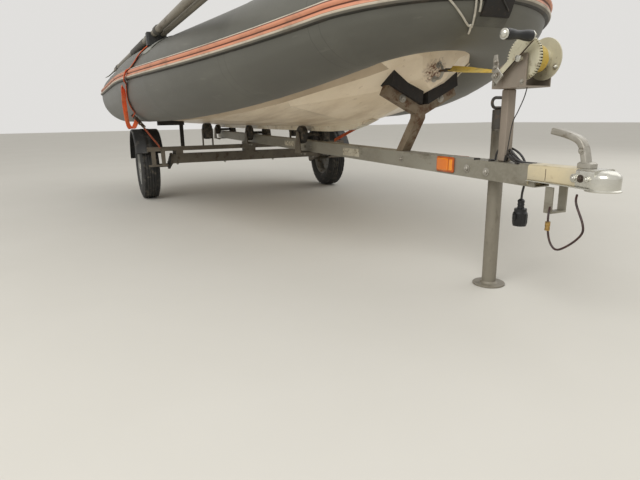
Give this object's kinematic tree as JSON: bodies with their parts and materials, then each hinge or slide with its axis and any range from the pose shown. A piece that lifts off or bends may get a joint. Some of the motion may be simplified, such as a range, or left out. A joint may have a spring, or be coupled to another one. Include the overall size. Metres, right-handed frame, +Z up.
{
  "type": "rigid-hulled inflatable boat on a road trailer",
  "caption": "Small rigid-hulled inflatable boat with grey buoyancy tubes and a cream hull, held on a galvanised single-axle road trailer with keel rollers and a geared bow winch.",
  "frame": {"origin": "on the ground under the middle of the whole object's box", "axes": "+X to the bow and the trailer coupling, +Y to port, +Z up"},
  "size_m": [4.2821, 2.0174, 1.1348],
  "materials": {
    "amber_lens": "moulded lens",
    "black_plastic": "matte",
    "brass": "worn brass",
    "cable_sheath": "satin",
    "dark_steel": "worn",
    "galvanised_steel": "weathered zinc",
    "hull_moulding": "satin gelcoat",
    "oar_tube": "weathered",
    "orange_webbing": "woven",
    "pale_patch": "coated fabric",
    "rim_steel": "satin grey",
    "roller_rubber": "matte",
    "seat_board": "satin",
    "strake_rubber": "matte",
    "tube_fabric": "matte coated fabric",
    "tyre_rubber": "matte",
    "yellow_webbing": "woven",
    "zinc_plated": "dull zinc"
  },
  "bodies": {
    "boat_on_trailer": {"axle_beam": "galvanised_steel", "axle_packers": "galvanised_steel", "bow_cradle": "galvanised_steel", "bow_eye": "zinc_plated", "bow_handle": "black_plastic", "cable_ferrule": "brass", "cockpit_floor": "hull_moulding", "coupling": "zinc_plated", "coupling_lever": "zinc_plated", "cradle_pads": "roller_rubber", "cross_member": "galvanised_steel", "drawbar": "galvanised_steel", "hull": "hull_moulding", "keel_bar": "hull_moulding", "lead_plug": "black_plastic", "light_lead": "cable_sheath", "mudguards": "black_plastic", "oars": "oar_tube", "prop_stand_clamp": "galvanised_steel", "roller_brackets": "galvanised_steel", "rowlock_blocks": "black_plastic", "rowlock_pads": "pale_patch", "rubbing_strake": "strake_rubber", "safety_cable": "cable_sheath", "side_reflectors": "amber_lens", "strap_ratchets": "dark_steel", "suspension_arms": "galvanised_steel", "thwart": "seat_board", "tie_down_straps": "orange_webbing", "transom": "hull_moulding", "tube_bow": "tube_fabric", "tube_port": "tube_fabric", "tube_rests": "roller_rubber", "tube_starboard": "tube_fabric", "under_bracket": "galvanised_steel", "webbing_hook": "zinc_plated", "winch_frame": "zinc_plated", "winch_post": "galvanised_steel", "winch_webbing": "yellow_webbing"},
    "wheel_starboard": {"tyre_starboard": "tyre_rubber", "wheel_rim_starboard": "rim_steel"},
    "wheel_port": {"tyre_port": "tyre_rubber", "wheel_rim_port": "rim_steel"},
    "stand": {"prop_stand": "zinc_plated", "stand_handle": "zinc_plated"},
    "crank": {"winch_crank": "zinc_plated", "crank_grip": "black_plastic"},
    "drum": {"winch_drum": "zinc_plated", "wound_webbing": "yellow_webbing"},
    "roller_front": {"keel_roller_front": "roller_rubber"},
    "roller_middle": {"keel_roller_middle": "roller_rubber"},
    "roller_rear": {"keel_roller_rear": "roller_rubber"},
    "roller_side_port": {"side_roller_port": "roller_rubber"},
    "roller_side_starboard": {"side_roller_starboard": "roller_rubber"}
  },
  "joints": [
    {"name": "wheel_starboard_spin", "type": "hinge", "parent": "boat_on_trailer", "child": "wheel_starboard", "pos_m": [-1.1, -0.7685, 0.243], "axis": [0, 1, 0], "continuous": true},
    {"name": "wheel_port_spin", "type": "hinge", "parent": "boat_on_trailer", "child": "wheel_port", "pos_m": [-1.1, 0.7685, 0.243], "axis": [0, 1, 0], "continuous": true},
    {"name": "stand_slide", "type": "slide", "parent": "boat_on_trailer", "child": "stand", "axis": [0, 0, 1], "range_m": [0, 0.19]},
    {"name": "crank_spin", "type": "hinge", "parent": "boat_on_trailer", "child": "crank", "pos_m": [1.784, 0, 0.693], "axis": [0, 1, 0], "continuous": true},
    {"name": "drum_spin", "type": "hinge", "parent": "boat_on_trailer", "child": "drum", "pos_m": [1.853, 0, 0.735], "axis": [0, 1, 0], "continuous": true},
    {"name": "roller_front_spin", "type": "hinge", "parent": "boat_on_trailer", "child": "roller_front", "pos_m": [0.3, 0, 0.4915], "axis": [0, 1, 0], "continuous": true},
    {"name": "roller_middle_spin", "type": "hinge", "parent": "boat_on_trailer", "child": "roller_middle", "pos_m": [-0.7, 0, 0.4831], "axis": [0, 1, 0], "continuous": true},
    {"name": "roller_rear_spin", "type": "hinge", "parent": "boat_on_trailer", "child": "roller_rear", "pos_m": [-1.66, 0, 0.496], "axis": [0, 1, 0], "continuous": true},
    {"name": "roller_side_port_spin", "type": "hinge", "parent": "boat_on_trailer", "child": "roller_side_port", "pos_m": [-0.83, 0.35, 0.5005], "axis": [0, 1, 0], "continuous": true},
    {"name": "roller_side_starboard_spin", "type": "hinge", "parent": "boat_on_trailer", "child": "roller_side_starboard", "pos_m": [-0.83, -0.35, 0.5005], "axis": [0, 1, 0], "continuous": true}
  ],
  "couplings": [
    {"joint": "crank_spin", "follows": "drum_spin", "ratio": -3}
  ]
}
